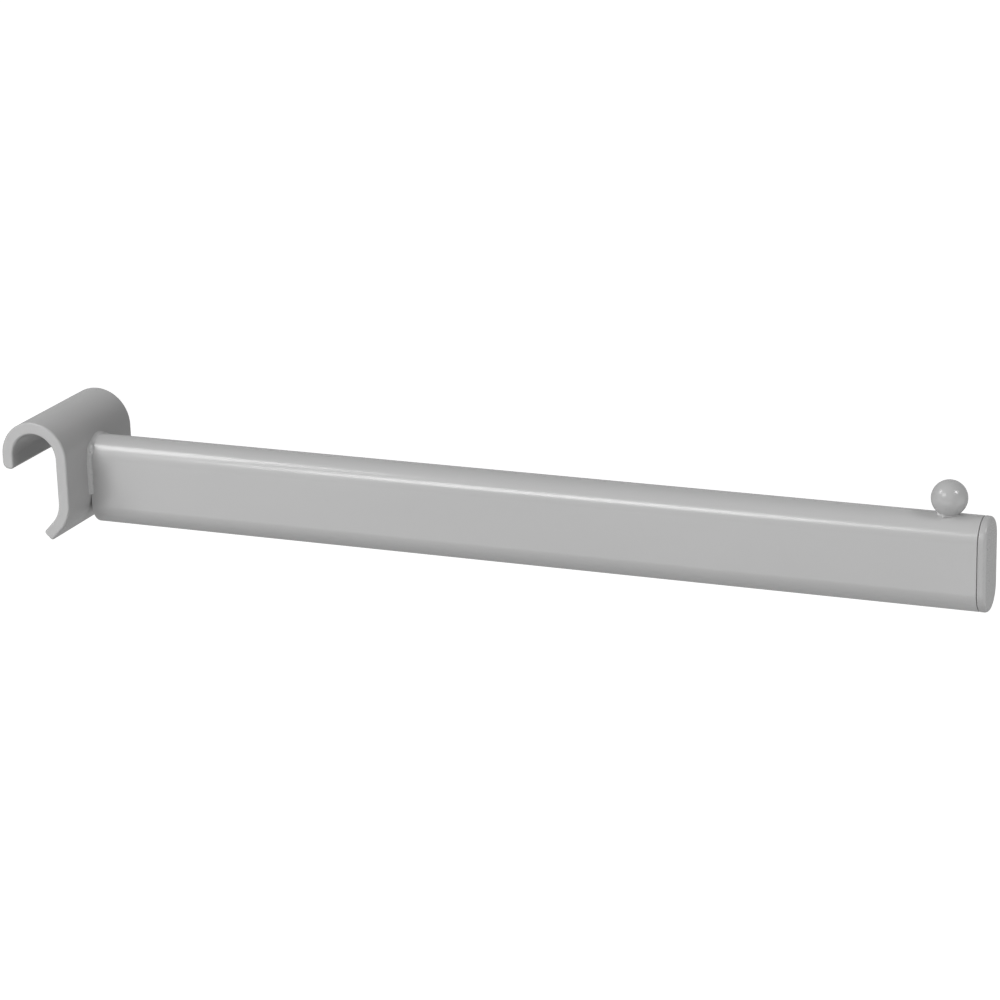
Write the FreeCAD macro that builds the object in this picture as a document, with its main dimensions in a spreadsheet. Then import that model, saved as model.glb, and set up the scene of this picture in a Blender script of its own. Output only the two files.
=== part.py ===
import FreeCAD, Part
import os
import Sketcher
from math import cos, pi, radians, sin
from FreeCAD import Vector

# A display arm that hooks over a flat oval bar on a shop wall.
# Frame: the origin is the centre of the hook's half-round seat, at the middle of the strip's width.
# +X runs out along the arm, +Y along the bar that carries it, +Z up. All lengths are in millimetres.

SIZES = {
    # Hook: one flat strip, bent over the bar, down its front and back under it
    "strip_width": 45.0,
    "strip_thickness": 4.0,
    "seat_radius": 8.0,             # inside of the half-round that sits on the bar
    "back_leg_drop": 4.7,           # seat centre down to the end of the back leg
    "front_leg_drop": 14.9,         # seat centre down to where the foot's bend starts
    "foot_bend_radius": 10.0,       # inside of the bend
    "foot_bend_angle": 43.0,        # degrees
    "foot_length": 5.2,             # straight end past the bend
    "back_tip_outer_radius": 2.2,
    "back_tip_inner_radius": 1.2,
    "foot_tip_radius": 0.9,
    "outer_round_limit": 0.56,      # most that a radius takes of the strip's thickness, outside
    "inner_round_limit": 0.38,      # and inside
    "strip_edge_bevel": 0.5,        # broken edge along both sides
    # Arm: flat oval tube, square cut
    "tube_height": 30.0,
    "tube_width": 15.0,
    "tube_wall": 1.5,
    "tube_length": 300.0,
    "tube_rise": 2.9,               # seat centre up to the tube's top
    "tube_end_bevel": 0.2,          # deburred outer edge of both ends
    # Bead that welds the tube to the hook, down both sides and over the top
    "weld_leg": 1.3,
    "weld_toe": 0.2,                # what the bead's slope leaves on the tube's outline
    "weld_run": 11.4,               # straight run down each side
    # Ball that keeps the goods from sliding off
    "ball_diameter": 11.2,
    "ball_sink": 0.8,               # how far the welding sank it into the tube's crest
    "ball_setback": 10.4,           # ball's centre to the tube's outer end
    "ball_weld_leg": 0.4,
    "ball_weld_depth": 1.3,         # reach of the weld's skirt down the tube's round crest
    # Moulded cap, pressed into the tube's outer end
    "flange_thickness": 2.8,
    "flange_edge_radius": 1.3,
    "flange_back_bevel": 0.25,
    "face_wall": 1.6,               # what the hollow leaves behind the cap's face
    "plug_length": 15.0,
    "plug_gap": 1.0,                # plug's own wall to the tube's inside
    "plug_wall": 1.4,
    "plug_lead_in": 0.7,
    "rib_clearance": 0.05,
    "rib_thickness": 1.2,
    "rib_slope": 25.0,              # degrees that each rib leans back, for pushing in
    "rib_start": 2.5,               # flange to the first rib
    "rib_pitch": 3.8,
    "rib_count": 3,
}

STRIP_FACE = "Sizes.seat_radius + Sizes.strip_thickness"
TUBE_AXIS = "Sizes.tube_rise - Sizes.tube_height / 2"
BALL_CENTRE_X = STRIP_FACE + " + Sizes.tube_length - Sizes.ball_setback"
BALL_FOOT = "sqrt(Sizes.ball_diameter * Sizes.ball_sink - Sizes.ball_sink ^ 2)"

ALONG = Vector(1, 0, 0)             # out along the arm
ACROSS = Vector(0, 1, 0)            # along the bar
UP = Vector(0, 0, 1)
ALIGNED_ANGLE = 0.5                 # degrees between two directions that still count as one

doc = FreeCAD.newDocument("display_wall_arm")


# The sheet of sizes

def write_sheet():
    """Put every size into the sheet under its own name."""
    sheet = doc.addObject("Spreadsheet::Sheet", "Sizes")
    for row, (name, value) in enumerate(SIZES.items(), start=1):
        sheet.set("A%d" % row, name)
        sheet.set("B%d" % row, str(value))
        sheet.setAlias("B%d" % row, name)
    doc.recompute()


# Helpers for bodies and sketches

def new_body(label, place_x="0", place_z="0"):
    """A body with its own label, placed by formulas."""
    body = doc.addObject("PartDesign::Body", label)
    body.Label = label
    body.setExpression(".Placement.Base.x", place_x)
    body.setExpression(".Placement.Base.z", place_z)
    return body


def new_sketch(body, name, role, offset="0"):
    """A sketch on one plane of the body's own origin, moved along the plane's normal."""
    sketch = body.newObject("Sketcher::SketchObject", name)
    plane = next(item for item in body.Origin.OriginFeatures if item.Role == role)
    sketch.AttachmentSupport = (plane, [""])
    sketch.MapMode = "FlatFace"
    sketch.setExpression(".AttachmentOffset.Base.z", offset)
    return sketch


def relate(sketch, kind, *geometry):
    """A relation without a size, such as a tangent."""
    return sketch.addConstraint(Sketcher.Constraint(kind, *geometry))


def dimension(sketch, name, formula, kind, *geometry):
    """A named dimension, the last of geometry being its first value, driven by a formula."""
    index = relate(sketch, kind, *geometry)
    sketch.renameConstraint(index, name)
    sketch.setExpression("Constraints." + name, formula)


def new_feature(body, kind, name, formulas, **settings):
    """A feature of the body, with the formulas of its sizes and its other settings."""
    feature = body.newObject("PartDesign::" + kind, name)
    for key, value in settings.items():
        setattr(feature, key, value)
    for key, formula in formulas.items():
        feature.setExpression(key, formula)
    doc.recompute()
    return feature


def add_oval(sketch, name, width, height):
    """A flat oval about the sketch's origin; width and height are the formulas of its size."""
    start_radius = sketch.evalExpression("(%s) / 2" % width)
    start_reach = sketch.evalExpression("((%s) - (%s)) / 2" % (height, width))
    normal = Vector(0, 0, 1)
    top = Part.Circle(Vector(0, start_reach, 0), normal, start_radius)
    bottom = Part.Circle(Vector(0, -start_reach, 0), normal, start_radius)
    right = [Vector(start_radius, -start_reach, 0), Vector(start_radius, start_reach, 0)]
    left = [Vector(-start_radius, start_reach, 0), Vector(-start_radius, -start_reach, 0)]
    first = sketch.addGeometry(Part.LineSegment(*right))
    sketch.addGeometry(Part.ArcOfCircle(top, 0, pi))
    sketch.addGeometry(Part.LineSegment(*left))
    sketch.addGeometry(Part.ArcOfCircle(bottom, pi, 2 * pi))
    for step in range(4):
        relate(sketch, "Tangent", first + step, 2, first + (step + 1) % 4, 1)
    relate(sketch, "Vertical", first)
    relate(sketch, "Vertical", first + 2)
    relate(sketch, "Symmetric", first + 1, 3, first + 3, 3, -1, 1)
    dimension(sketch, name + "_radius", "(%s) / 2" % width, "Radius", first + 1, start_radius)
    dimension(sketch, name + "_reach", "((%s) - (%s)) / 2" % (height, width),
              "DistanceY", -1, 1, first + 1, 3, start_reach)


def faces_facing(shape, direction):
    """Names of the flat faces whose outward normal is the direction."""
    names = []
    for number, face in enumerate(shape.Faces, start=1):
        flat = isinstance(face.Surface, Part.Plane)
        if flat and face.normalAt(0, 0).getAngle(direction) < radians(ALIGNED_ANGLE):
            names.append("Face%d" % number)
    return names


def names_of_edges(shape, edges):
    """Names that the edges have in the whole shape."""
    numbered = list(enumerate(shape.Edges, start=1))
    return ["Edge%d" % next(i for i, other in numbered if other.isSame(edge)) for edge in edges]


def edges_along(shape, face_name, direction):
    """Names of a face's straight edges that run along the direction."""
    edges = []
    for edge in shape.getElement(face_name).Edges:
        if isinstance(edge.Curve, Part.Line):
            angle = edge.tangentAt(edge.FirstParameter).getAngle(direction)
            if min(angle, pi - angle) < radians(ALIGNED_ANGLE):
                edges.append(edge)
    return names_of_edges(shape, edges)


def outer_edges(shape, face_name):
    """Names of the edges round a face's outline, leaving out those of its holes."""
    return names_of_edges(shape, shape.getElement(face_name).OuterWire.Edges)


# Hook: a strip bent to shape

def add_strip_outline(sketch):
    """The strip seen from its side, one thickness all the way round its bends."""
    inner = SIZES["seat_radius"]
    outer = inner + SIZES["strip_thickness"]
    back = -SIZES["back_leg_drop"]
    front = -SIZES["front_leg_drop"]
    bend_inner = SIZES["foot_bend_radius"]
    bend_outer = bend_inner + SIZES["strip_thickness"]
    turn = radians(SIZES["foot_bend_angle"])
    bend_centre = Vector(inner - bend_inner, front, 0)
    outward = Vector(cos(turn), -sin(turn), 0)
    foot_run = Vector(-sin(turn), -cos(turn), 0) * SIZES["foot_length"]
    foot_inner = bend_centre + outward * bend_inner
    foot_outer = bend_centre + outward * bend_outer
    normal = Vector(0, 0, 1)

    def line(start, end):
        return sketch.addGeometry(Part.LineSegment(Vector(*start), Vector(*end)))

    def arc(centre, radius, start, end):
        return sketch.addGeometry(Part.ArcOfCircle(Part.Circle(centre, normal, radius), start, end))

    back_out = line((-outer, 0), (-outer, back))
    back_end = line((-outer, back), (-inner, back))
    back_in = line((-inner, back), (-inner, 0))
    seat_in = arc(Vector(0, 0, 0), inner, 0, pi)
    front_in = line((inner, 0), (inner, front))
    bend_in = arc(bend_centre, bend_inner, -turn, 0)
    foot_in = line(foot_inner, foot_inner + foot_run)
    foot_end = line(foot_inner + foot_run, foot_outer + foot_run)
    foot_out = line(foot_outer + foot_run, foot_outer)
    bend_out = arc(bend_centre, bend_outer, -turn, 0)
    front_out = line((outer, front), (outer, 0))
    seat_out = arc(Vector(0, 0, 0), outer, 0, pi)

    for corner in ((back_out, 2, back_end, 1), (back_end, 2, back_in, 1),
                   (foot_in, 2, foot_end, 1), (foot_end, 2, foot_out, 1)):
        relate(sketch, "Coincident", *corner)
    for joint in ((back_in, 2, seat_in, 2), (seat_in, 1, front_in, 1), (front_in, 2, bend_in, 2),
                  (bend_in, 1, foot_in, 1), (foot_out, 2, bend_out, 1), (bend_out, 2, front_out, 1),
                  (front_out, 2, seat_out, 1), (seat_out, 2, back_out, 1)):
        relate(sketch, "Tangent", *joint)
    for upright in (back_out, back_in, front_in, front_out):
        relate(sketch, "Vertical", upright)
    relate(sketch, "Horizontal", back_end)
    relate(sketch, "Perpendicular", foot_end, foot_out)
    relate(sketch, "Parallel", foot_in, foot_out)
    relate(sketch, "Coincident", seat_in, 3, -1, 1)
    relate(sketch, "Coincident", seat_out, 3, -1, 1)
    relate(sketch, "Coincident", bend_in, 3, bend_out, 3)

    dimension(sketch, "seat", "Sizes.seat_radius", "Radius", seat_in, inner)
    dimension(sketch, "seat_outside", STRIP_FACE, "Radius", seat_out, outer)
    dimension(sketch, "bend", "Sizes.foot_bend_radius", "Radius", bend_in, bend_inner)
    dimension(sketch, "back_drop", "Sizes.back_leg_drop", "DistanceY", back_end, 1, -1, 1, -back)
    dimension(sketch, "front_drop", "Sizes.front_leg_drop", "DistanceY", bend_out, 3, -1, 1, -front)
    dimension(sketch, "turn", "Sizes.foot_bend_angle * 1 deg", "Angle", foot_in, 1, front_in, 1, turn)
    dimension(sketch, "foot", "Sizes.foot_length", "Distance", foot_in, SIZES["foot_length"])


def make_hook_strip():
    """The strip with its bends, rounded tips and broken edges."""
    body = new_body("hook_strip")
    outline = new_sketch(body, "StripOutline", "XZ_Plane")
    add_strip_outline(outline)
    strip = new_feature(body, "Pad", "Strip", {"Length": "Sizes.strip_width"},
                        Profile=outline, SideType="Symmetric")

    def edge_x(name):
        return body.Shape.getElement(name).CenterOfMass.x

    most_outside = "Sizes.strip_thickness * Sizes.outer_round_limit"
    most_inside = "Sizes.strip_thickness * Sizes.inner_round_limit"
    back_end = faces_facing(strip.Shape, -UP)[0]
    outer_corner = min(edges_along(strip.Shape, back_end, ACROSS), key=edge_x)
    rounded = new_feature(body, "Fillet", "BackTipOutside",
                          {"Radius": "min(Sizes.back_tip_outer_radius; %s)" % most_outside},
                          Base=(strip, [outer_corner]))
    back_end = faces_facing(rounded.Shape, -UP)[0]
    inner_corner = max(edges_along(rounded.Shape, back_end, ACROSS), key=edge_x)
    back_tip = new_feature(body, "Fillet", "BackTipInside",
                           {"Radius": "min(Sizes.back_tip_inner_radius; %s)" % most_inside},
                           Base=(rounded, [inner_corner]))
    turn = radians(SIZES["foot_bend_angle"])
    foot_end = faces_facing(back_tip.Shape, Vector(-sin(turn), 0, -cos(turn)))[0]
    foot_tip = new_feature(body, "Fillet", "FootTip",
                           {"Radius": "min(Sizes.foot_tip_radius; %s)" % most_inside},
                           Base=(back_tip, edges_along(back_tip.Shape, foot_end, ACROSS)))
    sides = faces_facing(foot_tip.Shape, ACROSS) + faces_facing(foot_tip.Shape, -ACROSS)
    new_feature(body, "Chamfer", "StripEdges", {"Size": "Sizes.strip_edge_bevel"},
                Base=(foot_tip, sides))
    return body


# Arm: a length of flat oval tube

def make_arm_tube():
    """The tube, from the strip's front face outwards, with its outer end edges broken."""
    body = new_body("arm_tube", STRIP_FACE, TUBE_AXIS)
    section = new_sketch(body, "TubeSection", "YZ_Plane")
    add_oval(section, "outside", "Sizes.tube_width", "Sizes.tube_height")
    add_oval(section, "inside", "Sizes.tube_width - 2 * Sizes.tube_wall",
             "Sizes.tube_height - 2 * Sizes.tube_wall")
    tube = new_feature(body, "Pad", "Tube", {"Length": "Sizes.tube_length"}, Profile=section)
    rims = []
    for end in faces_facing(tube.Shape, ALONG) + faces_facing(tube.Shape, -ALONG):
        rims += outer_edges(tube.Shape, end)
    new_feature(body, "Chamfer", "EndEdges", {"Size": "Sizes.tube_end_bevel"}, Base=(tube, rims))
    return body


def make_tube_envelope():
    """The space that the tube's outside takes up, run back into the strip: it shapes the welds."""
    body = new_body("tube_envelope", STRIP_FACE, TUBE_AXIS)
    section = new_sketch(body, "EnvelopeSection", "YZ_Plane", "-Sizes.strip_thickness")
    add_oval(section, "outside", "Sizes.tube_width", "Sizes.tube_height")
    new_feature(body, "Pad", "Envelope", {"Length": "Sizes.tube_length + Sizes.strip_thickness"},
                Profile=section)
    return body


# Welds and ball

def new_solid(kind, name, sizes, place):
    """A primitive with its sizes and its place bound to formulas."""
    solid = doc.addObject("Part::" + kind, name)
    for key, formula in sizes.items():
        solid.setExpression(key, formula)
    for axis, formula in place.items():
        solid.setExpression(".Placement.Base." + axis, formula)
    return solid


def cut_away(base, tools, label):
    """The base less each tool in turn; the last cut carries the sub-part's label."""
    result = base
    for number, tool in enumerate(tools, start=1):
        cut = doc.addObject("Part::Cut", "%s_cut_%d" % (label, number))
        cut.Base = result
        cut.Tool = tool
        result = cut
    result.Label = label
    return result


def make_tube_weld(strip, envelope):
    """A sloped bead round the tube's crest and down its sides, seated on the strip and the tube."""
    bead = new_body("weld_bead", STRIP_FACE, TUBE_AXIS)
    leg = " + 2 * Sizes.weld_leg"
    root = new_sketch(bead, "BeadRoot", "YZ_Plane")
    add_oval(root, "root", "Sizes.tube_width" + leg, "Sizes.tube_height" + leg)
    new_feature(bead, "Pad", "Root", {"Length": "Sizes.strip_thickness / 2"},
                Profile=root, Reversed=True)
    foot = new_sketch(bead, "BeadFoot", "YZ_Plane")
    add_oval(foot, "foot", "Sizes.tube_width" + leg, "Sizes.tube_height" + leg)
    new_feature(bead, "Pad", "Slope",
                {"Length": "Sizes.weld_leg",
                 "TaperAngle": "-atan((Sizes.weld_leg - Sizes.weld_toe) / Sizes.weld_leg)"},
                Profile=foot)

    below = new_solid("Box", "below_weld",
                      {"Length": "2 * Sizes.strip_thickness", "Width": "2 * Sizes.strip_width",
                       "Height": "2 * Sizes.tube_height"},
                      {"x": "Sizes.seat_radius", "y": "-Sizes.strip_width",
                       "z": "Sizes.tube_rise - Sizes.tube_width / 2 - Sizes.weld_run"
                            " - 2 * Sizes.tube_height"})
    return cut_away(bead, (envelope, below, strip), "tube_weld")


def make_ball(envelope):
    """The ball, its foot shaped to the tube's round crest."""
    centre = "Sizes.tube_rise - Sizes.ball_sink + Sizes.ball_diameter / 2"
    ball = new_solid("Sphere", "ball", {"Radius": "Sizes.ball_diameter / 2"},
                     {"x": BALL_CENTRE_X, "z": centre})
    return cut_away(ball, (envelope,), "ball_stop")


def make_ball_weld(ball, envelope):
    """A small skirt of weld round the ball's foot, following the tube's crest."""
    skirt = new_solid("Cone", "ball_weld_skirt",
                      {"Radius1": BALL_FOOT + " + 2 * Sizes.ball_weld_leg",
                       "Radius2": BALL_FOOT,
                       "Height": "2 * Sizes.ball_weld_depth"},
                      {"x": BALL_CENTRE_X, "z": "Sizes.tube_rise - Sizes.ball_weld_depth"})
    return cut_away(skirt, (envelope, ball), "ball_weld")


# Cap: a hollow ribbed plug behind a flange that matches the tube

def make_end_cap():
    """The cap, its local X at 0 where the flange meets the tube's end."""
    body = new_body("end_cap", STRIP_FACE + " + Sizes.tube_length", TUBE_AXIS)
    bore_width = "Sizes.tube_width - 2 * Sizes.tube_wall"
    bore_height = "Sizes.tube_height - 2 * Sizes.tube_wall"
    plug_inset = " - 2 * Sizes.plug_gap"
    rib_inset = " - 2 * Sizes.rib_clearance"
    hollow_inset = plug_inset + " - 2 * Sizes.plug_wall"

    flange_outline = new_sketch(body, "FlangeOutline", "YZ_Plane")
    add_oval(flange_outline, "flange", "Sizes.tube_width", "Sizes.tube_height")
    flange = new_feature(body, "Pad", "Flange", {"Length": "Sizes.flange_thickness"},
                         Profile=flange_outline)
    face_edge = new_feature(body, "Fillet", "FaceEdge", {"Radius": "Sizes.flange_edge_radius"},
                            Base=(flange, faces_facing(flange.Shape, ALONG)))
    new_feature(body, "Chamfer", "BackEdge", {"Size": "Sizes.flange_back_bevel"},
                Base=(face_edge, faces_facing(face_edge.Shape, -ALONG)))

    plug_outline = new_sketch(body, "PlugOutline", "YZ_Plane")
    add_oval(plug_outline, "plug", bore_width + plug_inset, bore_height + plug_inset)
    plug = new_feature(body, "Pad", "Plug", {"Length": "Sizes.plug_length"},
                       Profile=plug_outline, Reversed=True)
    plug_end = min(faces_facing(plug.Shape, -ALONG),
                   key=lambda name: plug.Shape.getElement(name).CenterOfMass.x)
    new_feature(body, "Chamfer", "LeadIn", {"Size": "Sizes.plug_lead_in"}, Base=(plug, [plug_end]))

    rib_outline = new_sketch(body, "RibOutline", "YZ_Plane", "-Sizes.rib_start")
    add_oval(rib_outline, "rib", bore_width + rib_inset, bore_height + rib_inset)
    rib = new_feature(body, "Pad", "Rib",
                      {"Length": "Sizes.rib_thickness", "TaperAngle": "-Sizes.rib_slope"},
                      Profile=rib_outline, Reversed=True)
    axis = next(item for item in body.Origin.OriginFeatures if item.Role == "X_Axis")
    body.Tip = new_feature(body, "LinearPattern", "Ribs",
                           {"Offset": "Sizes.rib_pitch", "Occurrences": "Sizes.rib_count"},
                           Originals=[rib], Direction=(axis, [""]), Mode="Spacing", Reversed=True)

    hollow_outline = new_sketch(body, "HollowOutline", "YZ_Plane", "-Sizes.plug_length")
    add_oval(hollow_outline, "hollow", bore_width + hollow_inset, bore_height + hollow_inset)
    new_feature(body, "Pocket", "Hollow",
                {"Length": "Sizes.plug_length + Sizes.flange_thickness - Sizes.face_wall"},
                Profile=hollow_outline, Reversed=True)
    return body


# Build, check and write

def check(parts):
    """Stop if any object failed or any sub-part isn't one valid solid."""
    for item in doc.Objects:
        failed = {"Invalid", "Error"} & set(item.State)
        assert not failed, "%s: %s" % (item.Name, sorted(failed))
    for item in parts:
        shape = item.Shape
        assert not shape.isNull() and shape.isValid(), item.Label + " has no valid shape"
        assert len(shape.Solids) == 1, item.Label + " isn't one solid"


def main():
    write_sheet()
    hook_strip = make_hook_strip()
    arm_tube = make_arm_tube()
    envelope = make_tube_envelope()
    tube_weld = make_tube_weld(hook_strip, envelope)
    ball_stop = make_ball(envelope)
    ball_weld = make_ball_weld(ball_stop, envelope)
    end_cap = make_end_cap()
    doc.recompute()

    parts = (hook_strip, arm_tube, tube_weld, ball_stop, ball_weld, end_cap)
    check(parts)
    os.makedirs("parts", exist_ok=True)
    for item in parts:
        item.Shape.exportStep("parts/%s.step" % item.Label)
        box = item.Shape.BoundBox
        print("%-11s %9.1f mm3  x %7.2f %7.2f  y %6.2f %6.2f  z %6.2f %6.2f" % (
            item.Label, item.Shape.Volume, box.XMin, box.XMax, box.YMin, box.YMax, box.ZMin, box.ZMax))


main()
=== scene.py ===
from math import cos, pi, radians, sin, sqrt

import bmesh
import bpy
from mathutils import Euler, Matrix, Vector, noise


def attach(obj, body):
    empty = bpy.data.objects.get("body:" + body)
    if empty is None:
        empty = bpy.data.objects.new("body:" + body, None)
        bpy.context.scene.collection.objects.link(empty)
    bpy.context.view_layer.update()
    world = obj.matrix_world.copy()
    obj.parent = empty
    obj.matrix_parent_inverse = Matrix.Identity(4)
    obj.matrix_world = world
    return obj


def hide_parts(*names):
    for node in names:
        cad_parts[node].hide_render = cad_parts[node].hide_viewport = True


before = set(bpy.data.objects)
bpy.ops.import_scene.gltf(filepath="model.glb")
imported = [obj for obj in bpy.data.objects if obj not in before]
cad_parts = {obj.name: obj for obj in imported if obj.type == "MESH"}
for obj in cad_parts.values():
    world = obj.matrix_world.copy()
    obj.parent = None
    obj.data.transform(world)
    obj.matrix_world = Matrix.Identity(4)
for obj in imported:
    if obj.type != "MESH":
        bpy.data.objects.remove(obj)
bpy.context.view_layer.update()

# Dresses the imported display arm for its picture. Lengths below are in millimetres, as in the part's
# source, and mm() turns them into Blender's metres. X runs out along the arm, Y along the wall bar, Z up.

SEAT_RADIUS = 8.0
STRIP_THICKNESS = 4.0
STRIP_FACE = SEAT_RADIUS + STRIP_THICKNESS
STRIP_WIDTH = 45.0
STRIP_EDGE_RADIUS = 0.65
BACK_LEG_DROP = 4.7
BACK_TIP_OUTER_RADIUS = 2.2
BACK_TIP_INNER_RADIUS = 1.2
FRONT_LEG_DROP = 14.9
FOOT_BEND_RADIUS = 10.0
FOOT_BEND_ANGLE = 43.0
FOOT_LENGTH = 5.2
FOOT_TIP_RADIUS = 0.9
TUBE_HEIGHT = 30.0
TUBE_WIDTH = 15.0
TUBE_WALL = 1.5
TUBE_LENGTH = 300.0
TUBE_TOP = 2.9
TUBE_AXIS = TUBE_TOP - TUBE_HEIGHT / 2
TUBE_END = STRIP_FACE + TUBE_LENGTH
TUBE_EDGE_RADIUS = 0.25
CREST_RADIUS = TUBE_WIDTH / 2
CREST_CENTRE = TUBE_TOP - CREST_RADIUS
WELD_LEG = 1.3
WELD_RUN = 11.4
WELD_SPREAD = 0.3
WELD_SINK = 0.12
WELD_STEP = 0.16
WELD_FADE = 1.4
RIPPLE_PITCH = 1.15
KNOB_PLACE = 3.2
KNOB_SPAN = 2.0
FAR_KNOB_PLACE = 3.4
FAR_KNOB_SPAN = 1.2
PIT_PLACE = 3.4
PIT_SPAN = 0.85
PIT_DEPTH = 0.75
BEAD_STEPS = 12
BALL_RADIUS = 5.6
BALL_SINK = 0.8
BALL_X = TUBE_END - 10.4
BALL_Z = TUBE_TOP - BALL_SINK + BALL_RADIUS
BALL_WELD_LEG = 0.30
BALL_WELD_SINK = 0.06
BALL_WELD_STEPS = 144
FLANGE_THICKNESS = 2.8
FLANGE_EDGE_RADIUS = 1.3
FACE_WALL = 1.6
PLUG_LENGTH = 15.0
PLUG_INSET = TUBE_WALL + 1.0
PLUG_WALL = 1.4
PLUG_LEAD_IN = 0.7
RIB_INSET = TUBE_WALL + 0.05
RIB_THICKNESS = 1.2
RIB_SLOPE = 25.0
RIB_START = 2.5
RIB_PITCH = 3.8
RIB_COUNT = 3
JOINT_GAP = 0.2
JOINT_CLOSING = 0.13
JOINT_CLOSING_SPAN = 9.0
JOINT_DEPTH = 0.9


def mm(*values):
    """Millimetres as a vector in metres."""
    return Vector(values) * 0.001


# Materials

class Shader:
    """A node material in the making: its Principled shader, and short ways to add nodes to it."""

    def __init__(self, name, colour, roughness):
        self.material = bpy.data.materials.new(name)
        self.material.use_nodes = True
        self.tree = self.material.node_tree
        self.surface = self.tree.nodes["Principled BSDF"]
        self.surface.inputs["Base Color"].default_value = (*colour, 1)
        self.surface.inputs["Roughness"].default_value = roughness
        self.place = self.add("ShaderNodeTexCoord").outputs["Object"]

    def add(self, kind, **settings):
        node = self.tree.nodes.new(kind)
        for key, value in settings.items():
            setattr(node, key, value)
        return node

    def join(self, output, socket):
        self.tree.links.new(output, socket)

    def noise(self, grain, detail=2.0, stretch=(1, 1, 1)):
        """Noise whose lumps are about a grain long, in millimetres."""
        mapping = self.add("ShaderNodeMapping")
        mapping.inputs["Scale"].default_value = stretch
        self.join(self.place, mapping.inputs["Vector"])
        node = self.add("ShaderNodeTexNoise")
        node.inputs["Scale"].default_value = 1000 / grain
        node.inputs["Detail"].default_value = detail
        self.join(mapping.outputs["Vector"], node.inputs["Vector"])
        return node.outputs["Fac"]

    def spread(self, value, low, high):
        """The noise's middle range mapped to low and high."""
        node = self.add("ShaderNodeMapRange")
        node.inputs["From Min"].default_value = 0.3
        node.inputs["From Max"].default_value = 0.7
        node.inputs["To Min"].default_value = low
        node.inputs["To Max"].default_value = high
        self.join(value, node.inputs["Value"])
        return node.outputs["Result"]

    def tint(self, value, low, high):
        """Base colour between two greys."""
        node = self.add("ShaderNodeMix", data_type="RGBA")
        node.inputs["A"].default_value = (*low, 1)
        node.inputs["B"].default_value = (*high, 1)
        self.join(value, node.inputs["Factor"])
        self.join(node.outputs["Result"], self.surface.inputs["Base Color"])

    def bump(self, layers):
        """Relief from several heights, each a pair of a value and its depth in millimetres."""
        normal = None
        for value, depth in layers:
            node = self.add("ShaderNodeBump")
            node.inputs["Strength"].default_value = 1.0
            node.inputs["Distance"].default_value = depth * 0.001
            self.join(value, node.inputs["Height"])
            if normal:
                self.join(normal, node.inputs["Normal"])
            normal = node.outputs["Normal"]
        self.join(normal, self.surface.inputs["Normal"])


def grey(level):
    """A neutral colour of one level, from 0 to 1."""
    return (level, level, level)


def make_coat(name, level, roughness, peel):
    """Baked powder coat: orange peel, fine flow lines and slight clouds in colour and gloss."""
    coat = Shader(name, grey(level), roughness)
    clouds = coat.noise(28.0, 3.0, (0.4, 1, 1))
    coat.tint(coat.spread(clouds, 0.0, 1.0), grey(level * 0.985), grey(level * 1.015))
    gloss = coat.spread(coat.noise(3.0, 4.0), roughness - 0.03, roughness + 0.03)
    coat.join(gloss, coat.surface.inputs["Roughness"])
    coat.bump([(coat.noise(1.6, 1.0), peel), (coat.noise(0.35, 2.0), peel * 0.12)])
    return coat.material


def make_plastic(name, level, roughness):
    """Moulded plastic: an even, fine spark-eroded grain and a faint flow shade."""
    plastic = Shader(name, grey(level), roughness)
    flow = plastic.noise(9.0, 2.0, (1, 1, 0.5))
    plastic.tint(plastic.spread(flow, 0.0, 1.0), grey(level * 0.98), grey(level * 1.02))
    grain = plastic.noise(0.25, 3.0)
    gloss = plastic.spread(grain, roughness - 0.05, roughness + 0.05)
    plastic.join(gloss, plastic.surface.inputs["Roughness"])
    plastic.bump([(grain, 0.002), (plastic.noise(2.5, 1.0), 0.002)])
    return plastic.material


COAT = make_coat("powder_coat", 0.52, 0.21, 0.0010)
# The ball's coat is the arm's own powder coat painted darker: painted shade over the whole ball.
BALL_COAT_PAINTED_SHADE = make_coat("powder_coat_on_ball_painted_darker", 0.49, 0.21, 0.0010)
# The coat over the welds is the arm's own powder coat painted lighter: painted light standing in for the
# light its beads catch.
WELD_COAT_PAINTED_LIGHT = make_coat("powder_coat_over_weld_painted_lighter", 0.62, 0.18, 0.002)
PLASTIC = make_plastic("moulded_plastic", 0.48, 0.28)


# Meshes

def add_piece(name, rings, caps, material, node):
    """A piece lofted through rings of points, which stands for a node of the model.

    With caps the first and last ring are closed; without, the last ring is joined to the first.
    """
    shape = bmesh.new()
    made = [[shape.verts.new(point * 0.001) for point in ring] for ring in rings]
    pairs = list(zip(made, made[1:]))
    if caps:
        shape.faces.new(list(reversed(made[0])))
        shape.faces.new(made[-1])
    else:
        pairs.append((made[-1], made[0]))
    for first, second in pairs:
        for here in range(len(first)):
            after = (here + 1) % len(first)
            shape.faces.new((first[here], first[after], second[after], second[here]))
    for face in shape.faces:
        face.smooth = True
    bmesh.ops.recalc_face_normals(shape, faces=shape.faces)
    mesh = bpy.data.meshes.new(name)
    shape.to_mesh(mesh)
    shape.free()
    mesh.materials.append(material)
    piece = bpy.data.objects.new(name, mesh)
    bpy.context.scene.collection.objects.link(piece)
    flats = piece.modifiers.new("flats", "WEIGHTED_NORMAL")
    flats.weight = 100
    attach(piece, "root")
    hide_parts(node)
    return piece


def quarter(steps):
    """Angles of a quarter turn, in radians."""
    return [step * pi / 2 / steps for step in range(steps + 1)]


# Hook

def arc(centre, radius, start, end, steps):
    """Points of an arc in the XZ plane, its angles in degrees from X towards Z."""
    points = []
    for step in range(steps + 1):
        angle = radians(start + (end - start) * step / steps)
        points.append((centre[0] + radius * cos(angle), centre[1] + radius * sin(angle)))
    return points


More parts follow.
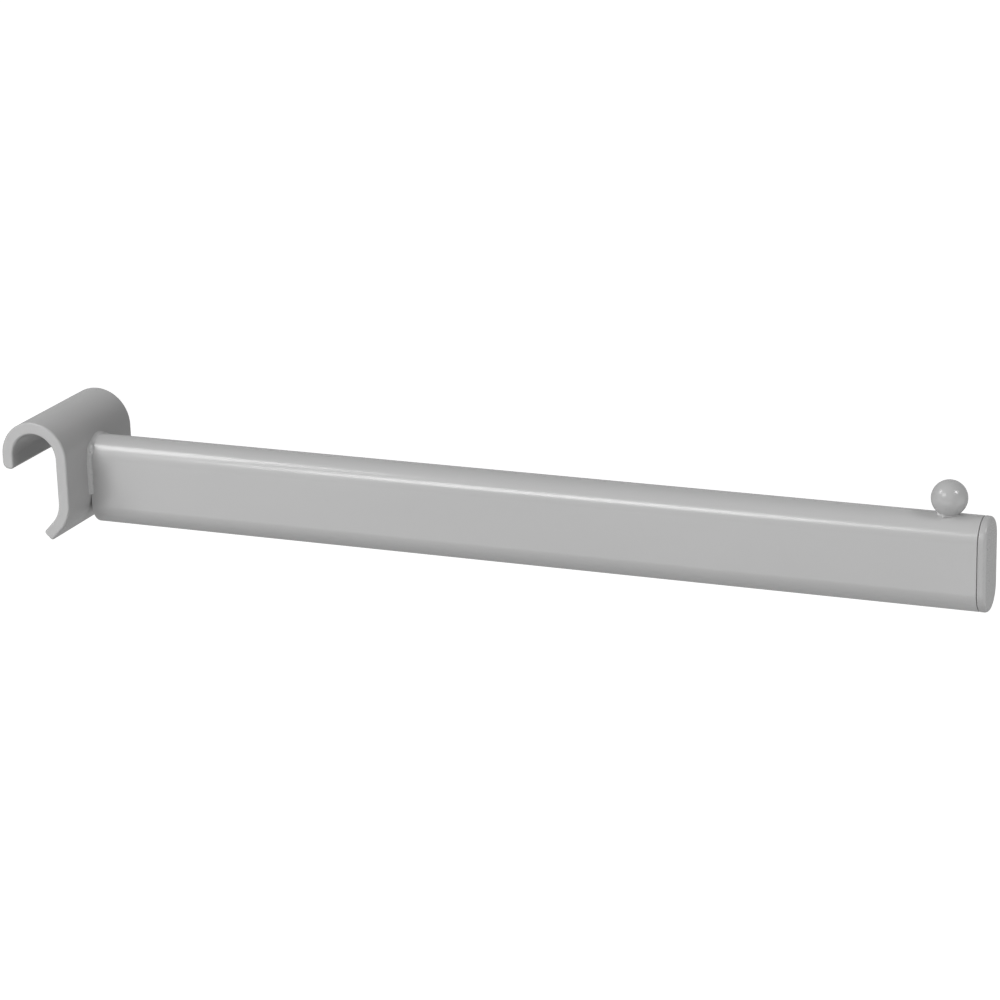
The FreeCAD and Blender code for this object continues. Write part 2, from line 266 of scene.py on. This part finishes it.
def strip_outline(inset):
    """The bent strip seen from its side, drawn in by an inset all round."""
    turn = radians(FOOT_BEND_ANGLE)
    outward = Vector((cos(turn), -sin(turn)))
    down = Vector((-sin(turn), -cos(turn)))
    bend = Vector((SEAT_RADIUS - FOOT_BEND_RADIUS, -FRONT_LEG_DROP))
    foot = bend + outward * FOOT_BEND_RADIUS + down * FOOT_LENGTH
    tip_in = foot + (outward - down) * FOOT_TIP_RADIUS
    tip_out = foot + outward * STRIP_THICKNESS - (outward + down) * FOOT_TIP_RADIUS
    back_in = (-SEAT_RADIUS - BACK_TIP_INNER_RADIUS, -BACK_LEG_DROP + BACK_TIP_INNER_RADIUS)
    back_out = (-STRIP_FACE + BACK_TIP_OUTER_RADIUS, -BACK_LEG_DROP + BACK_TIP_OUTER_RADIUS)
    foot_out = -FOOT_BEND_ANGLE
    points = arc((0, 0), STRIP_FACE - inset, 180, 0, 60)
    points += arc(bend, FOOT_BEND_RADIUS + STRIP_THICKNESS - inset, 0, foot_out, 16)
    points += arc(tip_out, FOOT_TIP_RADIUS - inset, foot_out, foot_out - 90, 8)
    points += arc(tip_in, FOOT_TIP_RADIUS - inset, foot_out - 90, foot_out - 180, 8)
    points += arc(bend, FOOT_BEND_RADIUS + inset, foot_out, 0, 16)
    points += arc((0, 0), SEAT_RADIUS + inset, 0, 180, 60)
    points += arc(back_in, BACK_TIP_INNER_RADIUS - inset, 0, -90, 8)
    points += arc(back_out, BACK_TIP_OUTER_RADIUS - inset, -90, -180, 10)
    return points


def add_hook():
    """The bent strip, lofted from one rolled edge to the other."""
    rings = []
    for side in (-1, 1):
        edge = []
        for angle in quarter(6):
            y = side * (STRIP_WIDTH / 2 - STRIP_EDGE_RADIUS * (1 - cos(angle)))
            outline = strip_outline(STRIP_EDGE_RADIUS * (1 - sin(angle)))
            edge.append([Vector((x, y, z)) for x, z in outline])
        rings += edge if side < 0 else list(reversed(edge))
    add_piece("bent_strip", rings, True, COAT, "hook_strip")


# Tube and cap

def oval(x, inset, steps=40):
    """The tube's flat oval at x, drawn in by an inset."""
    radius = CREST_RADIUS - inset
    points = []
    for centre, start in ((CREST_CENTRE, 0), (CREST_CENTRE - TUBE_HEIGHT + TUBE_WIDTH, 180)):
        for step in range(steps + 1):
            angle = radians(start + 180 * step / steps)
            points.append(Vector((x, radius * cos(angle), centre + radius * sin(angle))))
    return points


def add_tube():
    """The hollow tube: its outside from end to end, then back through its inside."""
    edge = TUBE_EDGE_RADIUS
    rings = []
    for angle in quarter(4):
        rings.append(oval(STRIP_FACE + edge * (1 - cos(angle)) if angle else STRIP_FACE,
                          edge * (1 - sin(angle))))
    for angle in reversed(quarter(4)):
        rings.append(oval(TUBE_END - edge * (1 - cos(angle)), edge * (1 - sin(angle))))
    rings.append(oval(TUBE_END, TUBE_WALL))
    rings.append(oval(STRIP_FACE, TUBE_WALL))
    add_piece("oval_tube", rings, False, COAT, "arm_tube")


def add_cap():
    """The cap from the bottom of its hollow, over the ribbed plug and the flange, to its face.

    The flange stands off the tube by the joint's gap, and comes closer along the tube's flat sides.
    """
    lean = RIB_THICKNESS * sin(radians(RIB_SLOPE)) / cos(radians(RIB_SLOPE))
    hollow = PLUG_INSET + PLUG_WALL
    run = [(FLANGE_THICKNESS - FACE_WALL, hollow), (-PLUG_LENGTH, hollow),
           (-PLUG_LENGTH, PLUG_INSET + PLUG_LEAD_IN), (-PLUG_LENGTH + PLUG_LEAD_IN, PLUG_INSET)]
    for number in reversed(range(RIB_COUNT)):
        front = -RIB_START - number * RIB_PITCH
        run += [(front - RIB_THICKNESS, PLUG_INSET), (front - RIB_THICKNESS, RIB_INSET + lean),
                (front, RIB_INSET), (front, PLUG_INSET)]
    run += [(0, PLUG_INSET), (0, JOINT_DEPTH), (JOINT_GAP, JOINT_DEPTH), (JOINT_GAP, TUBE_EDGE_RADIUS)]
    for angle in quarter(4)[1:]:
        run.append((JOINT_GAP + TUBE_EDGE_RADIUS * (1 - cos(angle)), TUBE_EDGE_RADIUS * (1 - sin(angle))))
    for angle in quarter(8):
        run.append((FLANGE_THICKNESS - FLANGE_EDGE_RADIUS * (1 - sin(angle)),
                    FLANGE_EDGE_RADIUS * (1 - cos(angle))))
    rings = [oval(TUBE_END + x, inset) for x, inset in run]
    for ring, (x, _) in zip(rings, run):
        if x == JOINT_GAP:
            for point in ring:
                point.x -= JOINT_CLOSING * bump_at(point.z, TUBE_AXIS, JOINT_CLOSING_SPAN)
    add_piece("moulded_cap", rings, True, PLASTIC, "end_cap")


# Welds

def strip_front(z):
    """X of the strip's front face at a height."""
    if z > 0:
        return sqrt(STRIP_FACE ** 2 - z ** 2)
    if z > -FRONT_LEG_DROP:
        return STRIP_FACE
    bend = FOOT_BEND_RADIUS + STRIP_THICKNESS
    return SEAT_RADIUS - FOOT_BEND_RADIUS + sqrt(bend ** 2 - (z + FRONT_LEG_DROP) ** 2)


def bump_at(place, centre, width):
    """A smooth lump of height 1."""
    return 2.718 ** (-((place - centre) / width) ** 2)


def bead_section(low, high, swell, buried, outward, pit, pit_place):
    """Points of a bead's section from its toe on one surface to its toe on the other.

    The swell raises its middle, a pit dents it at its place, and buried is a point inside the joint.
    """
    points = []
    for step in range(BEAD_STEPS + 1):
        share = step / BEAD_STEPS
        rise = swell * sin(pi * share) - pit * bump_at(share, pit_place, 0.22)
        points.append(low.lerp(high, share) + outward * rise)
    points.append(buried)
    return points


def add_tube_weld():
    """A rippled bead up each side of the tube, fading into a smooth hollow blend over its crest."""
    crest = pi * CREST_RADIUS
    whole = 2 * WELD_RUN + crest
    steps = int(whole / WELD_STEP)
    rings = []
    for step in range(steps + 1):
        along = whole * step / steps
        turn = min(max(along - WELD_RUN, 0), crest) / CREST_RADIUS
        run = max(WELD_RUN - along, along - WELD_RUN - crest, 0)
        out = Vector((0, -cos(turn), sin(turn)))
        root = Vector((0, 0, CREST_CENTRE - run)) + out * CREST_RADIUS
        side = min(max((abs(turn - pi / 2) - 0.62) / 0.30, 0), 1)
        side = side * side * (3 - 2 * side)
        ripple = abs(sin(pi * along / RIPPLE_PITCH + noise.noise(Vector((along * 0.4, 0, 0)))))
        drift = noise.noise(Vector((along * 0.35, 4.0, 0)))
        far_knob = bump_at(along, WELD_RUN + crest - FAR_KNOB_PLACE, FAR_KNOB_SPAN)
        knob = bump_at(along, WELD_RUN + KNOB_PLACE, KNOB_SPAN) + 0.6 * far_knob
        pit = PIT_DEPTH * bump_at(along, WELD_RUN + PIT_PLACE, PIT_SPAN)
        end = min(along, whole - along) / WELD_FADE
        end = sqrt(1 - (1 - end) ** 2) if end < 1 else 1
        leg = WELD_LEG - 0.1 + 0.1 * drift * side + 0.06 * ripple * side + 0.3 * knob
        leg *= 0.25 + 0.75 * end
        swell = (side * (0.42 + 0.06 * ripple) - (1 - side) * 0.3 + 0.28 * knob) * end
        low = root + out * (leg + WELD_SPREAD * side * end)
        low.x = strip_front(low.z) - WELD_SINK
        high = root - out * WELD_SINK
        high.x = strip_front(root.z) + leg
        buried = root - out * 0.4
        buried.x = strip_front(root.z) - 0.4
        outward = (out + Vector((1, 0, 0))).normalized()
        rings.append(bead_section(low, high, swell, buried, outward, pit, 0.5))
    add_piece("side_weld", rings, True, WELD_COAT_PAINTED_LIGHT, "tube_weld")


def crest_height(y):
    """Z of the tube's crest at a distance from its middle plane."""
    return CREST_CENTRE + sqrt(CREST_RADIUS ** 2 - y ** 2)


def ball_underside(reach):
    """Z of the ball's lower side at a distance from its axis."""
    return BALL_Z - sqrt(BALL_RADIUS ** 2 - reach ** 2)


def contact_reach(turn):
    """Distance from the ball's axis at which ball and tube meet in one direction."""
    near, far = 0.5, 5.0
    for _ in range(30):
        middle = (near + far) / 2
        if ball_underside(middle) < crest_height(middle * sin(turn)):
            near = middle
        else:
            far = middle
    return near


def add_ball_weld():
    """A small scalloped bead round the ball's foot, with the welder's last drop on one side."""
    rings = []
    for step in range(BALL_WELD_STEPS):
        share = step / BALL_WELD_STEPS
        turn = 2 * pi * step / BALL_WELD_STEPS
        reach = contact_reach(turn)
        scallop = abs(sin(4.5 * turn + 0.4 * noise.noise(Vector((cos(turn), sin(turn), 0)))))
        drop = bump_at(share, 0.60, 0.045) + 0.9 * bump_at(share, 0.69, 0.035)
        leg = BALL_WELD_LEG + 0.08 * scallop + 0.75 * drop
        swell = 0.05 + 0.05 * scallop + 0.20 * drop
        facing = Vector((cos(turn), sin(turn), 0))
        axis = Vector((BALL_X, 0, 0))
        low = axis + facing * (reach + leg)
        low.z = crest_height(low.y) - BALL_WELD_SINK
        high_z = ball_underside(reach) + leg
        high = axis + facing * (sqrt(BALL_RADIUS ** 2 - (BALL_Z - high_z) ** 2) - BALL_WELD_SINK)
        high.z = high_z
        buried = axis + facing * (reach - 0.3)
        buried.z = ball_underside(reach) - 0.05
        outward = (facing + Vector((0, 0, 1))).normalized()
        rings.append(bead_section(low, high, swell, buried, outward, 0.38 * drop, 0.62))
    add_piece("ball_bead", rings, False, WELD_COAT_PAINTED_LIGHT, "ball_weld")


add_hook()
add_tube()
add_cap()
add_tube_weld()
add_ball_weld()
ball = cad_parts["ball_stop"].data.materials
ball.clear()
ball.append(BALL_COAT_PAINTED_SHADE)


# Camera

camera_data = bpy.data.cameras.new("camera")
camera_data.sensor_width = 36
camera_data.lens = 114.46
camera = bpy.data.objects.new("camera", camera_data)
camera.location = mm(522.31, -889.41, 300.71)
camera.rotation_euler = Euler([radians(angle) for angle in (72.2711, 1.5518, 21.8904)], "XYZ")
bpy.context.scene.collection.objects.link(camera)
bpy.context.scene.camera = camera


# Studio: a pale floor under the arm, a soft surround and six lamps

FLOOR_DROP = 700.0
FLOOR_SIZE = 14.0
FLOOR_LEVEL = 0.56
FLOOR_LIFT_SEEN = 0.88
FLOOR_LIFT_MIRRORED = 0.16
SURROUND_BASE = 0.05
SURROUND = (  # direction, level
    ((-0.6, -0.6, 0.5), 0.43),
    ((0, -1, 0.15), 0.25),
    ((0, 0, 1), 0.05),
    ((-0.2, 0.8, 0.5), 0.14),
    ((0, 1, -0.1), 0.32),
)
LAMPS = (  # name, place and aim in millimetres, width and height in metres, radiance
    ("lamp_over_hook", (-305, -285, 527), (50, 0, 0), 0.22, 0.22, 8.3),
    ("lamp_front_left", (-363, -1240, 870), (165, 0, 0), 0.50, 0.38, 10),
    ("lamp_over_ball", (613, -90, 319), (301, 0, 8), 0.12, 0.12, 12),
    ("lamp_left", (-1000, -950, -200), (100, 0, 0), 0.8, 0.5, 1.0),
    ("lamp_low", (150, -1300, -400), (150, 0, -12), 2.1, 0.45, 1.15),
    ("lamp_end", (560, -20, -110), (315, 0, -15), 0.3, 0.3, 0.95),
)


def make_floor():
    """A pale floor well below the arm, as if the arm hung at its place of use.

    The camera sees it white, and the arm's gloss mirrors it a little lighter than it is.
    """
    mesh = bpy.data.meshes.new("floor")
    half = FLOOR_SIZE / 2
    corners = [(-half, -half, 0), (half, -half, 0), (half, half, 0), (-half, half, 0)]
    mesh.from_pydata(corners, [], [(0, 1, 2, 3)])
    floor = bpy.data.objects.new("floor", mesh)
    floor.location = mm(0, 0, -FLOOR_DROP)
    bpy.context.scene.collection.objects.link(floor)
    shade = Shader("pale_floor", grey(FLOOR_LEVEL), 0.9)
    shade.surface.inputs["Specular IOR Level"].default_value = 0.0
    path = shade.add("ShaderNodeLightPath").outputs
    seen = shade.add("ShaderNodeMath", operation="MULTIPLY")
    seen.inputs[1].default_value = FLOOR_LIFT_SEEN
    shade.join(path["Is Camera Ray"], seen.inputs[0])
    lift = shade.add("ShaderNodeMath", operation="MULTIPLY_ADD")
    lift.inputs[1].default_value = FLOOR_LIFT_MIRRORED
    shade.join(path["Is Glossy Ray"], lift.inputs[0])
    shade.join(seen.outputs["Value"], lift.inputs[2])
    shade.surface.inputs["Emission Color"].default_value = (1, 1, 1, 1)
    shade.join(lift.outputs["Value"], shade.surface.inputs["Emission Strength"])
    mesh.materials.append(shade.material)


def make_world():
    """A dim surround, lighter at the front left and behind; the camera itself sees plain white."""
    world = bpy.data.worlds.new("surround")
    bpy.context.scene.world = world
    world.use_nodes = True
    tree = world.node_tree
    join = tree.links.new
    direction = tree.nodes.new("ShaderNodeTexCoord").outputs["Generated"]
    total = None
    for toward, level in SURROUND:
        facing = tree.nodes.new("ShaderNodeVectorMath")
        facing.operation = "DOT_PRODUCT"
        facing.inputs[1].default_value = Vector(toward).normalized()
        join(direction, facing.inputs[0])
        glow = tree.nodes.new("ShaderNodeMapRange")
        glow.inputs["From Min"].default_value = 0.3
        glow.inputs["To Max"].default_value = level
        join(facing.outputs["Value"], glow.inputs["Value"])
        both = tree.nodes.new("ShaderNodeMath")
        both.inputs[1].default_value = SURROUND_BASE
        join(glow.outputs["Result"], both.inputs[0])
        if total:
            join(total, both.inputs[1])
        total = both.outputs["Value"]
    seen = tree.nodes.new("ShaderNodeLightPath").outputs["Is Camera Ray"]
    strength = tree.nodes.new("ShaderNodeMix")
    strength.inputs["B"].default_value = 1.0
    join(seen, strength.inputs["Factor"])
    join(total, strength.inputs["A"])
    background = tree.nodes["Background"]
    join(strength.outputs["Result"], background.inputs["Strength"])
    background.inputs["Color"].default_value = (1, 1, 1, 1)


def add_lamp(name, place, aim, width, height, radiance):
    """A rectangular soft lamp that faces its aim."""
    data = bpy.data.lights.new(name, "AREA")
    data.shape = "RECTANGLE"
    data.size = width
    data.size_y = height
    data.energy = radiance * pi * width * height
    lamp = bpy.data.objects.new(name, data)
    lamp.location = mm(*place)
    lamp.rotation_euler = (mm(*place) - mm(*aim)).to_track_quat("Z", "Y").to_euler()
    bpy.context.scene.collection.objects.link(lamp)


make_floor()
make_world()
for lamp in LAMPS:
    add_lamp(*lamp)

bpy.context.scene.view_settings.view_transform = "Standard"
